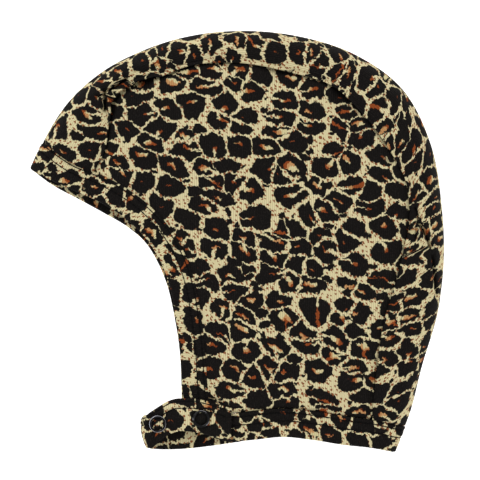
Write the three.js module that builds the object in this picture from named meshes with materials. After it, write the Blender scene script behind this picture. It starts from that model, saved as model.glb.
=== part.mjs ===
// A baby beanie in bonnet cut, sewn from rib jersey and lying flat on its right side.
// Its pieces are two side panels, a centre panel that is folded along its middle, a band round
// the face, a band round the neck, and a chin strap with two ring snaps.
// Millimetres, +Z up. The forehead is towards -X, the crown towards +Y, the nape at +X and -Y.
import * as THREE from "three";

// Cloth thickness. The bands and the strap are folded double.
const PANEL_WALL = 1.4;
const BAND_WALL = 2.4;
const STRAP_WALL = 1.9;
// The gap at a seam, and the wider one where the two bands meet on the front corner.
const GAP = 0.3;
const CORNER_GAP = 0.9;

// The fold: the middle of the centre panel, which is the outline from the forehead over the
// crown to the nape.
const FOLD_ROWS = [
  { x: -96.7, y: 33.6 },
  { x: -90.1, y: 47.6 },
  { x: -78.0, y: 65.8 },
  { x: -63.0, y: 78.9 },
  { x: -43.4, y: 89.2 },
  { x: -21.9, y: 95.7 },
  { x: 1.4, y: 98.1 },
  { x: 29.0, y: 95.5 },
  { x: 54.6, y: 87.3 },
  { x: 77.1, y: 71.0 },
  { x: 90.1, y: 46.2 },
  { x: 95.5, y: 16.8 },
  { x: 96.6, y: -6.5 },
  { x: 93.9, y: -32.2 },
  { x: 86.4, y: -58.4 },
  { x: 80.6, y: -81.3 },
  { x: 73.8, y: -98.5 },
];

// The upper side panel's seam, between its ends on the face band and on the neck band.
const UPPER_SEAM_ROWS = [
  { x: -66.9, y: 31.8 },
  { x: -62.1, y: 43.4 },
  { x: -60.3, y: 56.5 },
  { x: -57.4, y: 66.4 },
  { x: -50.0, y: 72.6 },
  { x: -37.4, y: 76.8 },
  { x: -22.9, y: 82.2 },
  { x: 1.4, y: 83.4 },
  { x: 24.8, y: 79.4 },
  { x: 45.8, y: 72.4 },
  { x: 57.4, y: 61.6 },
  { x: 70.5, y: 44.4 },
  { x: 79.4, y: 25.7 },
  { x: 80.3, y: 9.8 },
  { x: 75.2, y: -14.5 },
  { x: 68.2, y: -39.2 },
  { x: 65.2, y: -62.6 },
  { x: 62.8, y: -84.0 },
];
// The lower side panel's seam runs at one distance from the fold.
const LOWER_STRIP = 20;

// The open edge of the upper layer, from the forehead down the face, round the front corner and
// along the neck to the nape. lift is the cloth's height there, band the width of the band.
const UPPER_EDGE_ROWS = [
  { x: -96.7, y: 33.6, lift: 10.0, band: 13.6 },
  { x: -81.7, y: 25.9, lift: 10.5, band: 11.2 },
  { x: -65.4, y: 18.9, lift: 11.0, band: 11.2 },
  { x: -52.8, y: 11.2, lift: 11.0, band: 11.2 },
  { x: -42.5, y: 1.4, lift: 11.0, band: 11.2 },
  { x: -35.5, y: -9.8, lift: 10.6, band: 11.2 },
  { x: -31.3, y: -21.0, lift: 10.2, band: 11.2 },
  { x: -28.5, y: -36.0, lift: 9.4, band: 11.2 },
  { x: -26.6, y: -51.8, lift: 8.4, band: 11.2 },
  { x: -25.7, y: -67.2, lift: 7.0, band: 11.2 },
  { x: -24.8, y: -75.7, lift: 6.3, band: 11.2 },
  { x: -21.5, y: -83.6, lift: 6.1, band: 11.6 },
  { x: -14.5, y: -90.1, lift: 6.1, band: 12.4 },
  { x: -5.1, y: -93.6, lift: 6.6, band: 13.2 },
  { x: 7.0, y: -92.9, lift: 8.0, band: 13.4 },
  { x: 21.0, y: -91.3, lift: 9.6, band: 13.4 },
  { x: 35.0, y: -92.5, lift: 10.4, band: 13.4 },
  { x: 49.0, y: -94.8, lift: 10.5, band: 13.4 },
  { x: 63.0, y: -96.4, lift: 10.2, band: 13.2 },
  { x: 73.8, y: -98.5, lift: 9.6, band: 12.8 },
];
// The front corner, where the face band and the neck band meet.
const CORNER = { x: -18.5, y: -86.9 };

// The open edge of the lower layer down the face. It shows a little past the upper one and ends
// at the chin strap.
const LOWER_FACE_ROWS = [
  { x: -96.7, y: 33.6, band: 13.6 },
  { x: -86.9, y: 26.4, band: 12.4 },
  { x: -74.3, y: 19.6, band: 11.8 },
  { x: -62.6, y: 13.2, band: 11.2 },
  { x: -51.4, y: 6.6, band: 11.2 },
  { x: -43.2, y: -0.6, band: 11.2 },
  { x: -37.6, y: -9.4, band: 11.2 },
  { x: -33.0, y: -20.5, band: 11.2 },
  { x: -29.4, y: -36.0, band: 11.2 },
  { x: -27.0, y: -51.8, band: 11.2 },
  { x: -26.2, y: -67.2, band: 11.2 },
  { x: -26.0, y: -81.4, band: 11.2 },
];
// The open edge of the lower layer along the neck, from the chin strap to the nape.
const LOWER_NECK_ROWS = [
  { x: 0.1, y: -94.2, band: 13.6 },
  { x: 7.0, y: -92.8, band: 13.5 },
  { x: 21.0, y: -90.6, band: 13.4 },
  { x: 35.0, y: -91.8, band: 13.4 },
  { x: 49.0, y: -94.0, band: 13.4 },
  { x: 63.0, y: -96.0, band: 13.2 },
  { x: 73.8, y: -98.5, band: 12.8 },
];
// A band's sections are drawn over to the fold within this way from it.
const FOLD_PULL = 25;

// How the cloth stands: the crown's height, the way over which it rises from the open edge, the
// share of the height at which the fold lies, and the way over which each layer rounds to it.
const CROWN_LIFT = 15.5;
const RISE = 60;
const FOLD_SHARE = 0.45;
const UPPER_ROUND = 8;
const LOWER_ROUND = 6;
// The centre panel is puffed and stands above the side panel at the seam, which is a valley.
const STRIP_PUFF = 1.2;
const SEAM_STEP = 0.9;
const SEAM_DEEP = 1.3;
const SEAM_REACH = 2.6;

// Folds pressed into the upper layer, each a valley from one point to another.
const CREASE_ROWS = [
  { x1: -64.0, y1: 66.8, x2: -50.5, y2: 74.8, deep: 1.5, reach: 2.2 },
  { x1: -50.0, y1: 74.6, x2: -37.5, y2: 79.6, deep: 1.8, reach: 3.6 },
  { x1: -59.5, y1: 68.0, x2: -62.5, y2: 50.0, deep: 1.3, reach: 2.6 },
  { x1: 81.7, y1: 15.8, x2: 87.6, y2: 3.0, deep: 1.1, reach: 1.8 },
  { x1: 87.6, y1: 3.0, x2: 92.0, y2: -25.0, deep: 1.2, reach: 1.8 },
];

// The chin strap as sections across it: the two edges of its outer face. It leaves the lower
// layer to the left, folds over at its far left end and lies on the upper front corner.
const STRAP_LOWER_ROWS = [
  { x1: -3.2, y1: -81.2, x2: -0.4, y2: -94.6, z: 0 },
  { x1: -13.0, y1: -82.1, x2: -12.0, y2: -96.1, z: 0 },
  { x1: -26.0, y1: -82.4, x2: -25.0, y2: -97.0, z: 0 },
  { x1: -36.0, y1: -82.4, x2: -33.0, y2: -97.2, z: 0 },
  { x1: -42.0, y1: -82.5, x2: -37.6, y2: -97.0, z: 0 },
];
const STRAP_TURN = { out: 2.7, high: 6.6, steps: 6 };
const STRAP_UPPER_ROWS = [
  { x1: -42.0, y1: -82.5, x2: -37.6, y2: -97.0, z: 6.6 },
  { x1: -39.0, y1: -79.2, x2: -35.8, y2: -93.2, z: 6.6 },
  { x1: -35.9, y1: -76.6, x2: -33.0, y2: -90.7, z: 6.6 },
  { x1: -32.2, y1: -75.2, x2: -29.9, y2: -89.4, z: 7.2 },
  { x1: -28.8, y1: -74.3, x2: -27.0, y2: -88.7, z: 8.8 },
  { x1: -25.6, y1: -73.9, x2: -24.4, y2: -88.6, z: 10.3 },
  { x1: -22.0, y1: -73.8, x2: -21.2, y2: -88.7, z: 10.8 },
  { x1: -18.0, y1: -74.2, x2: -17.6, y2: -89.3, z: 10.8 },
  { x1: -13.6, y1: -75.2, x2: -14.0, y2: -90.2, z: 10.8 },
  { x1: -8.4, y1: -76.8, x2: -8.6, y2: -91.6, z: 10.8 },
  { x1: -2.4, y1: -78.5, x2: -2.6, y2: -93.0, z: 10.8 },
];

// The ring snaps: an open enamelled ring on the strap's face, and a plain clasp on its back.
const RING = { radius: 3.5, wire: 0.5 };
const CLASP_RADIUS = 3.7;
const SNAP_ROWS = [
  { place: "fold", x: -37.0, y: -85.4, ring: 7.3, clasp: 3.4, high: 1.8 },
  { place: "end", x: -16.6, y: -82.5, ring: 11.5, clasp: 7.9, high: 1.4 },
];

const CLOTH_LOOK = { roughness: 0.9, metalness: 0 };
const PRINTED_JERSEY = new THREE.MeshStandardMaterial({ color: 0x5d5139, ...CLOTH_LOOK });
const ENAMEL = new THREE.MeshStandardMaterial({ color: 0x16161a, roughness: 0.25, metalness: 0.6 });
const STEEL = new THREE.MeshStandardMaterial({ color: 0x8b8c90, roughness: 0.35, metalness: 0.9 });

const mix = (a, b, t) => a + (b - a) * t;
const clamp = (v) => Math.min(1, Math.max(0, v));
const smooth = (v) => clamp(v) ** 2 * (3 - 2 * clamp(v));
const count = (n) => Array.from({ length: n }, (_, i) => i);
const distance = (a, b) => Math.hypot(b.x - a.x, b.y - a.y);

// A curve in plan through a table's rows, with the other columns carried along it. tips are the
// ends, 0 or 1, at which it meets the fold.
class Line {
  constructor(rows, tips = []) {
    const points = rows.map((r) => new THREE.Vector3(r.x, r.y, 0));
    this.curve = new THREE.CatmullRomCurve3(points, false, "centripetal");
    this.curve.arcLengthDivisions = (rows.length - 1) * 20;
    const lengths = this.curve.getLengths();
    this.length = this.curve.getLength();
    this.rows = rows;
    this.stops = rows.map((_, i) => lengths[i * 20] / this.length);
    this.samples = this.curve.getSpacedPoints(160);
    this.tips = tips;
  }

  // The place at a share of the length, and the unit vector to the left of the curve there.
  at(share) {
    const { x, y } = this.curve.getPointAt(clamp(share));
    const way = this.curve.getTangentAt(clamp(share));
    return { x, y, left: { x: -way.y, y: way.x } };
  }

  column(key, share) {
    const i = Math.max(1, this.stops.findIndex((stop) => stop >= clamp(share)));
    const t = (clamp(share) - this.stops[i - 1]) / (this.stops[i] - this.stops[i - 1]);
    return mix(this.rows[i - 1][key], this.rows[i][key], t);
  }

  // The nearest place: its distance, its share of the length, and the side, 1 on the left.
  nearest(p) {
    let best = { distance: Infinity };
    for (const i of count(this.samples.length - 1)) {
      const [a, b] = [this.samples[i], this.samples[i + 1]];
      const way = { x: b.x - a.x, y: b.y - a.y };
      const off = { x: p.x - a.x, y: p.y - a.y };
      const t = clamp((off.x * way.x + off.y * way.y) / (way.x ** 2 + way.y ** 2));
      const d = Math.hypot(off.x - t * way.x, off.y - t * way.y);
      if (d < best.distance) {
        const side = way.x * off.y - way.y * off.x < 0 ? -1 : 1;
        best = { distance: d, share: (i + t) / (this.samples.length - 1), side };
      }
    }
    return best;
  }
}

const fold = new Line(FOLD_ROWS);
const upperEdge = new Line(UPPER_EDGE_ROWS, [0, 1]);
const lowerFace = new Line(LOWER_FACE_ROWS, [0]);
const lowerNeck = new Line(LOWER_NECK_ROWS, [1]);

// A place in a band, with across 0 at its open edge and 1 at its sewn one. A section at the fold
// lies along the fold.
function bandPlace(edge, along, across) {
  const p = edge.at(along);
  const wide = edge.column("band", along) * across;
  const place = { x: p.x + p.left.x * wide, y: p.y + p.left.y * wide };
  for (const tip of edge.tips) {
    const end = edge.at(tip);
    const run = edge.column("band", tip) * across;
    const onFold = fold.at(Math.abs(tip - run / fold.length));
    const pull = 1 - smooth((Math.abs(along - tip) * edge.length) / FOLD_PULL);
    place.x += (onFold.x - end.x - end.left.x * run) * pull;
    place.y += (onFold.y - end.y - end.left.y * run) * pull;
  }
  return place;
}

// The sewn edges of the bands, on which the panels end. Below, it runs on over the chin strap.
const sewnRows = (edge, steps) => count(steps + 1).map((i) => bandPlace(edge, i / steps, 1));
const strapSide = STRAP_LOWER_ROWS.slice(0, 2).map((r) => ({ x: r.x1, y: r.y1 + GAP }));
const upperSewn = new Line(sewnRows(upperEdge, 40));
const lowerSewn = new Line([
  ...sewnRows(lowerFace, 30),
  strapSide[1],
  strapSide[0],
  ...sewnRows(lowerNeck, 20).slice(1),
]);

const upperSeam = new Line(
  UPPER_SEAM_ROWS.map((row, i) => {
    const inside = i > 0 && i < UPPER_SEAM_ROWS.length - 1;
    return inside ? row : upperSewn.at(upperSewn.nearest(row).share);
  })
);
const lowerSeam = new Line([
  lowerSewn.at(LOWER_STRIP / lowerSewn.length),
  ...count(13).map((i) => {
    const p = fold.at(mix(0.1, 0.9, i / 12));
    return { x: p.x - p.left.x * LOWER_STRIP, y: p.y - p.left.y * LOWER_STRIP };
  }),
  lowerSewn.at(1 - LOWER_STRIP / lowerSewn.length),
]);

function creaseDeep(p) {
  const depths = CREASE_ROWS.map((c) => {
    const way = { x: c.x2 - c.x1, y: c.y2 - c.y1 };
    const off = { x: p.x - c.x1, y: p.y - c.y1 };
    const t = clamp((off.x * way.x + off.y * way.y) / (way.x ** 2 + way.y ** 2));
    const away = Math.hypot(off.x - t * way.x, off.y - t * way.y);
    return c.deep * Math.exp(-((away / c.reach) ** 2));
  });
  return Math.max(...depths);
}

// Height of the upper layer without its seams and folds: the nearby edge's lift, and the rise.
const edgeLifts = upperEdge.samples.map((p, i, all) => ({
  x: p.x,
  y: p.y,
  lift: upperEdge.column("lift", i / (all.length - 1)),
}));
function bodyHeight(p) {
  let [sum, weights] = [0, 0];
  for (const q of edgeLifts) {
    const weight = 1 / (distance(p, q) ** 2 + 1) ** 2;
    sum += weight * q.lift;
    weights += weight;
  }
  return mix(sum / weights, CROWN_LIFT, smooth(upperEdge.nearest(p).distance / RISE));
}

// The quarter ellipse by which a layer rounds to the fold.
const roundness = (away, reach) => Math.sqrt(1 - (1 - clamp(away / reach)) ** 2);

function upperPoint(p) {
  const body = bodyHeight(p);
  const toFold = fold.nearest(p).distance;
  const toSeam = upperSeam.nearest(p);
  const onStrip = toSeam.side > 0;
  const hill = onStrip ? Math.sin((Math.PI * toFold) / (toFold + toSeam.distance + GAP)) : 0;
  const step = onStrip ? SEAM_STEP * smooth(toFold / UPPER_ROUND) : 0;
  const valley = SEAM_DEEP * Math.exp(-((toSeam.distance / SEAM_REACH) ** 2));
  const full = body + STRIP_PUFF * hill + step - valley - creaseDeep(p);
  const low = FOLD_SHARE * body;
  return new THREE.Vector3(p.x, p.y, mix(low, full, roundness(toFold, UPPER_ROUND)));
}

const foldPoint = (p) => new THREE.Vector3(p.x, p.y, FOLD_SHARE * bodyHeight(p));

function lowerPoint(p) {
  const round = roundness(fold.nearest(p).distance, LOWER_ROUND);
  return new THREE.Vector3(p.x, p.y, round === 1 ? 0 : foldPoint(p).z * (1 - round));
}

// A wall of cloth from a grid of points on its outer face. The outer face is on the side where
// the way along a column, crossed with the way along a row, points.
function wall(grid, thickness) {
  const [rows, columns] = [grid.length, grid[0].length];
  const inside = grid.map((row, i) =>
    row.map((p, j) => {
      const down = grid[Math.min(rows - 1, i + 1)][j].clone().sub(grid[Math.max(0, i - 1)][j]);
      const over = row[Math.min(columns - 1, j + 1)].clone().sub(row[Math.max(0, j - 1)]);
      return p.clone().addScaledVector(down.cross(over).normalize(), -thickness);
    })
  );
  const outer = (i, j) => i * columns + j;
  const inner = (i, j) => rows * columns + outer(i, j);
  const index = [];
  const quad = (a, b, c, d) => index.push(a, b, c, a, c, d);
  for (const i of count(rows - 1)) {
    for (const j of count(columns - 1)) {
      quad(outer(i, j), outer(i + 1, j), outer(i + 1, j + 1), outer(i, j + 1));
      quad(inner(i, j), inner(i, j + 1), inner(i + 1, j + 1), inner(i + 1, j));
    }
    const last = columns - 1;
    quad(inner(i, 0), inner(i + 1, 0), outer(i + 1, 0), outer(i, 0));
    quad(outer(i, last), outer(i + 1, last), inner(i + 1, last), inner(i, last));
  }
  for (const j of count(columns - 1)) {
    const last = rows - 1;
    quad(outer(0, j), outer(0, j + 1), inner(0, j + 1), inner(0, j));
    quad(inner(last, j), inner(last, j + 1), outer(last, j + 1), outer(last, j));
  }
  const points = [...grid.flat(), ...inside.flat()];
  const geometry = new THREE.BufferGeometry().setFromPoints(points);
  return geometry.setIndex(index);
}

function piece(name, geometry, material) {
  const mesh = new THREE.Mesh(geometry, material);
  mesh.name = name;
  return mesh;
}

// Ways from the fold: close together where the cloth rounds, then even. The fold is left out.
function waysFromFold(length, reach, turns, evens) {
  const round = (i) => reach * (1 - Math.cos(((i + 1) * Math.PI) / (2 * turns)));
  const even = (i) => mix(reach, length, (i + 1) / evens);
  return [...count(turns).map(round), ...count(evens).map(even)];
}

// A band runs from the front corner along the upper edge, round the fold, and along the lower
// edge. tip is the end of the edges at which its fold lies.
function band(name, tip, lowerEdge, evens) {
  const corner = upperEdge.nearest(CORNER).share;
  const upperRun = Math.abs(corner - tip) * upperEdge.length - CORNER_GAP / 2;
  const ups = waysFromFold(upperRun, UPPER_ROUND, 5, evens).reverse();
  const downs = waysFromFold(lowerEdge.length, LOWER_ROUND, 4, evens);
  const place = (edge, run, across) => bandPlace(edge, Math.abs(tip - run / edge.length), across);
  const grid = [0, 0.33, 0.66, 0.98].map((across) => [
    ...ups.map((run) => upperPoint(place(upperEdge, run, across))),
    foldPoint(place(upperEdge, 0, across)),
    ...downs.map((run) => lowerPoint(place(lowerEdge, run, across))),
  ]);
  return piece(name, wall(tip ? grid.reverse() : grid, BAND_WALL), PRINTED_JERSEY);
}

// Half of the centre panel on one layer, as a patch between the fold, its seam and the bands'
// sewn edges. along runs from the forehead to the nape, across from the fold to the seam.
function stripPlace(sewn, seam, along, across) {
  const ends = [upperEdge.column("band", 0) / fold.length, 1 - upperEdge.column("band", 1) / fold.length];
  const [first, last] = [sewn.nearest(seam.at(0)).share, sewn.nearest(seam.at(1)).share];
  const outer = (u) => fold.at(mix(ends[0], ends[1], u));
  const [a, b] = [outer(along), seam.at(along)];
  const [c, d] = [sewn.at(first * across), sewn.at(mix(1, last, across))];
  const [p, q, r, s] = [outer(0), seam.at(0), outer(1), seam.at(1)];
  const blend = (k) =>
    mix(a[k], b[k], across) +
    mix(c[k], d[k], along) -
    mix(mix(p[k], q[k], across), mix(r[k], s[k], across), along);
  return { x: blend("x"), y: blend("y") };
}

function centrePanel() {
  const ends = GAP / fold.length;
  const grid = count(58).map((i) => {
    const along = mix(ends, 1 - ends, i / 57);
    const upper = (across) => stripPlace(upperSewn, upperSeam, along, across);
    const lower = (across) => stripPlace(lowerSewn, lowerSeam, along, across);
    const [upperWide, lowerWide] = [upper, lower].map((half) => distance(half(0), half(1)));
    const ups = waysFromFold(upperWide - GAP / 2, UPPER_ROUND, 5, 6).reverse();
    const downs = waysFromFold(lowerWide - GAP / 2, LOWER_ROUND, 4, 2);
    return [
      ...ups.map((run) => upperPoint(upper(run / upperWide))),
      foldPoint(upper(0)),
      ...downs.map((run) => lowerPoint(lower(run / lowerWide))),
    ];
  });
  return piece("centre_panel", wall(grid, PANEL_WALL), PRINTED_JERSEY);
}

// A side panel fills the space from its seam to the bands' sewn edge, and narrows to nothing
// where they meet.
function sidePanel(name, sewn, seam, point, rows, columns) {
  const [first, last] = [sewn.nearest(seam.at(0)).share, sewn.nearest(seam.at(1)).share];
  const tip = 1.6 / seam.length;
  const grid = count(rows).map((i) => {
    const along = mix(tip, 1 - tip, i / (rows - 1));
    const [a, b] = [seam.at(along), sewn.at(mix(first, last, along))];
    const margin = Math.min(0.3, GAP / 2 / distance(a, b));
    return count(columns).map((j) => {
      const across = mix(margin, 1 - margin, j / (columns - 1));
      return point({ x: mix(a.x, b.x, across), y: mix(a.y, b.y, across) });
    });
  });
  return piece(name, wall(point === upperPoint ? grid.reverse() : grid, PANEL_WALL), PRINTED_JERSEY);
}

function chinStrap() {
  const first = STRAP_UPPER_ROWS[0];
  const turn = count(STRAP_TURN.steps - 1).map((i) => {
    const angle = ((i + 1) * Math.PI) / STRAP_TURN.steps;
    const out = STRAP_TURN.out * Math.sin(angle);
    const z = (STRAP_TURN.high * (1 - Math.cos(angle))) / 2;
    return { ...first, x1: first.x1 - out, x2: first.x2 - out, z };
  });
  const grid = [...STRAP_LOWER_ROWS, ...turn, ...STRAP_UPPER_ROWS].map((r) =>
    [1, 0.66, 0.33, 0].map((t) => new THREE.Vector3(mix(r.x1, r.x2, t), mix(r.y1, r.y2, t), r.z))
  );
  return piece("chin_strap", wall(grid, STRAP_WALL), PRINTED_JERSEY);
}

function snap(row) {
  const ring = piece(`snap_ring_${row.place}`, new THREE.TorusGeometry(RING.radius, RING.wire, 8, 32), ENAMEL);
  ring.position.set(row.x, row.y, row.ring);
  const disc = new THREE.CylinderGeometry(CLASP_RADIUS, CLASP_RADIUS, row.high, 24).rotateX(Math.PI / 2);
  const clasp = piece(`snap_clasp_${row.place}`, disc, STEEL);
  clasp.position.set(row.x, row.y, row.clasp);
  return [ring, clasp];
}

const beanie = new THREE.Group();
beanie.add(
  sidePanel("left_side_panel", upperSewn, upperSeam, upperPoint, 40, 15),
  sidePanel("right_side_panel", lowerSewn, lowerSeam, lowerPoint, 30, 7),
  centrePanel(),
  band("face_band", 0, lowerFace, 24),
  band("neck_band", 1, lowerNeck, 14),
  chinStrap(),
  ...SNAP_ROWS.flatMap(snap)
);
export default beanie;
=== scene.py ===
# A baby beanie in bonnet cut, sewn from leopard-print rib jersey, lying flat on its right side.
# Layout values are in millimetres and go to metres where a mesh is made. +Z is up, the forehead
# is towards -X, the crown towards +Y, and the nape at +X and -Y.
import functools
import math

import bpy
import bmesh
import numpy as np
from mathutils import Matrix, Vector, noise


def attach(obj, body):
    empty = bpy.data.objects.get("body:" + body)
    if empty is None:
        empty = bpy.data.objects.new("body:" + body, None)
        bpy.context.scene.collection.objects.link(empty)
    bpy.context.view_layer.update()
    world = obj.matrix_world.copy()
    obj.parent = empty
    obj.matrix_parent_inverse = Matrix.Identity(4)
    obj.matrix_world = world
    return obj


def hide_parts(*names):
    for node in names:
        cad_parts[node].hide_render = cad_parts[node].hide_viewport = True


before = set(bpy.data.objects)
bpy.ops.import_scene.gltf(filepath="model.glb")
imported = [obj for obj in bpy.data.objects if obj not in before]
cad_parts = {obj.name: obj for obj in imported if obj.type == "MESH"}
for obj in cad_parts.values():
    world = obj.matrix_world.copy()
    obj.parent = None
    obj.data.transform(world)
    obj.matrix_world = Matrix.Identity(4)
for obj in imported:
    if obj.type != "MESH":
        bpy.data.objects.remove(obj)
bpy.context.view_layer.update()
scene = bpy.context.scene
MM = 0.001

# Left side panel
# The side that lies on top: single rib jersey with upright ribs, cut to the side of the head and
# sewn to the centre panel along the crown and to the bands at the face and the neck. This
# section also holds the bonnet's outline, its heights, and the jersey, which it is first to use.


def smooth(v):
    v = np.clip(v, 0, 1)
    return v * v * (3 - 2 * v)


def mix(a, b, t):
    return a + (b - a) * t


# Rows from one given row to the next, even rows of a curve, how many of these the search for
# the nearest point goes at a step, and the places that it seeks at a time
FINE_ROWS, CURVE_ROWS, SEARCH_STEP, SEARCH_PART = 40, 500, 3, 4000


def way_along(points):
    steps = np.linalg.norm(np.diff(points, axis=0), axis=1)
    return np.concatenate([[0], np.cumsum(steps)])


def rows_at(at, run, rows):
    """Rows of a table between its own, which are at the ways in run."""
    return np.stack([np.interp(at, run, column) for column in rows.T], axis=-1)


def smooth_rows(rows, plan):
    """Rows of a table made fine: a cubic through them by the distance in the plan columns."""
    rows = np.array(rows, float)
    steps = np.linalg.norm(np.diff(rows[:, plan], axis=0), axis=1)
    at = np.concatenate([[0], np.cumsum(steps)])
    slope = np.gradient(rows, at, axis=0)
    t = np.linspace(0, 1, FINE_ROWS, endpoint=False)[:, None]
    fine = []
    for i in range(len(rows) - 1):
        a, b = rows[i], rows[i + 1]
        u, v = slope[i] * steps[i], slope[i + 1] * steps[i]
        fine.append(a + t * (u + t * (3 * (b - a) - 2 * u - v + t * (2 * (a - b) + u + v))))
    return np.vstack([*fine, rows[-1:]])


class Line:
    """A smooth curve in plan. Columns after x and y go along with it. tips are the ends, 0 or 1,
    at which it meets the fold."""

    def __init__(self, rows, tips=()):
        fine = smooth_rows(rows, [0, 1])
        run = way_along(fine[:, :2])
        self.length = run[-1]
        self.run = np.linspace(0, self.length, CURVE_ROWS)
        self.rows = rows_at(self.run, run, fine)
        way = np.gradient(self.rows[:, :2], axis=0)
        way /= np.linalg.norm(way, axis=1)[:, None]
        self.left = np.column_stack([-way[:, 1], way[:, 0]])
        self.tips = tips

    def column(self, k, run):
        return np.interp(run, self.run, self.rows[:, k])

    def at(self, run):
        return rows_at(run, self.run, self.rows[:, :2]), rows_at(run, self.run, self.left)

    def nearest(self, places):
        """Distance, way along and side (1 on the left) of the nearest point, for each place."""
        flat = places.reshape(-1, 2)
        points = self.rows[::SEARCH_STEP, :2]
        a, way = points[:-1], np.diff(points, axis=0)
        square = (way**2).sum(axis=1)
        found = []
        for part in np.array_split(flat, max(1, len(flat) // SEARCH_PART)):
            off = part[:, None] - a[None]
            t = np.clip((off * way).sum(axis=2) / square, 0, 1)
            gap = np.hypot(off[..., 0] - t * way[:, 0], off[..., 1] - t * way[:, 1])
            best = gap.argmin(axis=1)
            pick = np.arange(len(part))
            cross = way[best, 0] * off[pick, best, 1] - way[best, 1] * off[pick, best, 0]
            run = (best + t[pick, best]) * SEARCH_STEP * self.length / (CURVE_ROWS - 1)
            found.append(np.column_stack([gap[pick, best], run, np.where(cross < 0, -1, 1)]))
        return np.vstack(found).reshape(*places.shape[:-1], 3)


# The fold is the middle of the centre panel, the outline from forehead over crown to nape.
fold = Line([
    (-96.7, 33.6), (-90.1, 47.6), (-78.0, 65.8), (-63.0, 78.9), (-43.4, 89.2), (-21.9, 95.7),
    (1.4, 98.1), (29.0, 95.5), (54.6, 87.3), (77.1, 71.0), (90.1, 46.2), (95.5, 16.8),
    (96.6, -6.5), (93.9, -32.2), (86.4, -58.4), (80.6, -81.3), (73.8, -98.5),
])
# The open edge of the upper layer: x, y, the cloth's height there, the width of the band.
LIFT, UPPER_BAND = 2, 3
upper_edge = Line([
    (-96.7, 33.6, 10.0, 13.6), (-81.7, 25.9, 10.5, 11.2), (-65.4, 18.9, 11.0, 11.2),
    (-52.8, 11.2, 11.0, 11.2), (-42.5, 1.4, 11.0, 11.2), (-35.5, -9.8, 10.6, 11.2),
    (-31.3, -21.0, 10.2, 11.2), (-28.5, -36.0, 9.4, 11.2), (-26.6, -51.8, 8.4, 11.2),
    (-25.7, -67.2, 7.0, 11.2), (-24.8, -75.7, 6.3, 11.2), (-21.5, -83.6, 6.1, 11.6),
    (-14.5, -90.1, 6.1, 12.4), (-5.1, -93.6, 6.6, 13.2), (7.0, -92.9, 8.0, 13.4),
    (21.0, -91.3, 9.6, 13.4), (35.0, -92.5, 10.4, 13.4), (49.0, -94.8, 10.5, 13.4),
    (63.0, -96.4, 10.2, 13.2), (73.8, -98.5, 9.6, 12.8),
], tips=(0, 1))
CORNER = np.array([-18.5, -86.9])
# The open edges of the lower layer, down the face and along the neck: x, y, width of the band.
LOWER_BAND = 2
lower_face = Line([
    (-96.7, 33.6, 13.6), (-86.9, 26.4, 12.4), (-74.3, 19.6, 11.8), (-62.6, 13.2, 11.2),
    (-51.4, 6.6, 11.2), (-43.2, -0.6, 11.2), (-37.6, -9.4, 11.2), (-33.0, -20.5, 11.2),
    (-29.4, -36.0, 11.2), (-27.0, -51.8, 11.2), (-26.2, -67.2, 11.2), (-26.0, -81.4, 11.2),
], tips=(0,))
lower_neck = Line([
    (0.1, -94.7, 13.6), (7.0, -93.1, 13.5), (21.0, -90.6, 13.4), (35.0, -91.8, 13.4),
    (49.0, -94.0, 13.4), (63.0, -96.0, 13.2), (73.8, -98.5, 12.8),
], tips=(1,))
STRAP_END = np.array([(-13.0, -81.8), (-3.2, -80.9)])
# How far from the fold a band's sections begin to turn towards it
FOLD_PULL = 25


def band_place(edge, run, across):
    """Places in a band, across 0 at its open edge and 1 at its sewn one. A section at the fold
    lies along the fold."""
    width = UPPER_BAND if edge is upper_edge else LOWER_BAND
    run, across = np.broadcast_arrays(run, across)
    place, left = edge.at(run)
    place = place + left * (edge.column(width, run) * across)[..., None]
    for tip in edge.tips:
        end, end_left = edge.at(np.array(tip * edge.length))
        reach = edge.column(width, tip * edge.length) * across
        on_fold = fold.at(np.abs(tip * fold.length - reach))[0]
        pull = 1 - smooth(np.abs(run - tip * edge.length) / FOLD_PULL)
        place = place + pull[..., None] * (on_fold - end - end_left * reach[..., None])
    return place


def sewn_rows(edge, steps):
    return band_place(edge, np.linspace(0, edge.length, steps + 1), 1)


upper_sewn = Line(sewn_rows(upper_edge, 60))
lower_sewn = Line(
    np.vstack([sewn_rows(lower_face, 40), STRAP_END, sewn_rows(lower_neck, 24)[1:]])
)


def on_line(line, place):
    """The nearest point of a line, as a row of a table."""
    run = line.nearest(np.array([place[:2]], float))[0, 1]
    return (*line.at(run)[0], *place[2:])


# The seams between the side panels and the centre panel. The lower one runs beside the fold.
# Overlap is how far the centre panel's puffed edge stands over the side panel, 0 to 1.
OVERLAP = 2
UPPER_SEAM_ROWS = [
    (-66.9, 31.8, 0.0), (-62.1, 43.4, 0.5), (-60.3, 56.5, 0.8), (-57.4, 66.4, 0.9),
    (-50.0, 72.6, 0.9), (-37.4, 76.8, 1.0), (-22.9, 82.2, 0.9), (1.4, 83.4, 0.5),
    (24.8, 79.4, 0.9), (45.8, 72.4, 0.9), (57.4, 61.6, 0.9), (70.5, 44.4, 0.7),
    (79.4, 25.7, 0.25), (80.3, 9.8, 0.35), (75.2, -14.5, 0.2), (68.2, -39.2, 0.2),
    (65.2, -62.6, 0.3), (62.8, -84.0, 0.0),
]
LOWER_STRIP = 20
upper_seam = Line([
    on_line(upper_sewn, UPPER_SEAM_ROWS[0]),
    *UPPER_SEAM_ROWS[1:-1],
    on_line(upper_sewn, UPPER_SEAM_ROWS[-1]),
])
beside_fold, beside_left = fold.at(np.linspace(0.1, 0.9, 13) * fold.length)
lower_seam = Line(np.vstack([
    lower_sewn.at(LOWER_STRIP)[0],
    beside_fold - beside_left * LOWER_STRIP,
    lower_sewn.at(lower_sewn.length - LOWER_STRIP)[0],
]))

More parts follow.
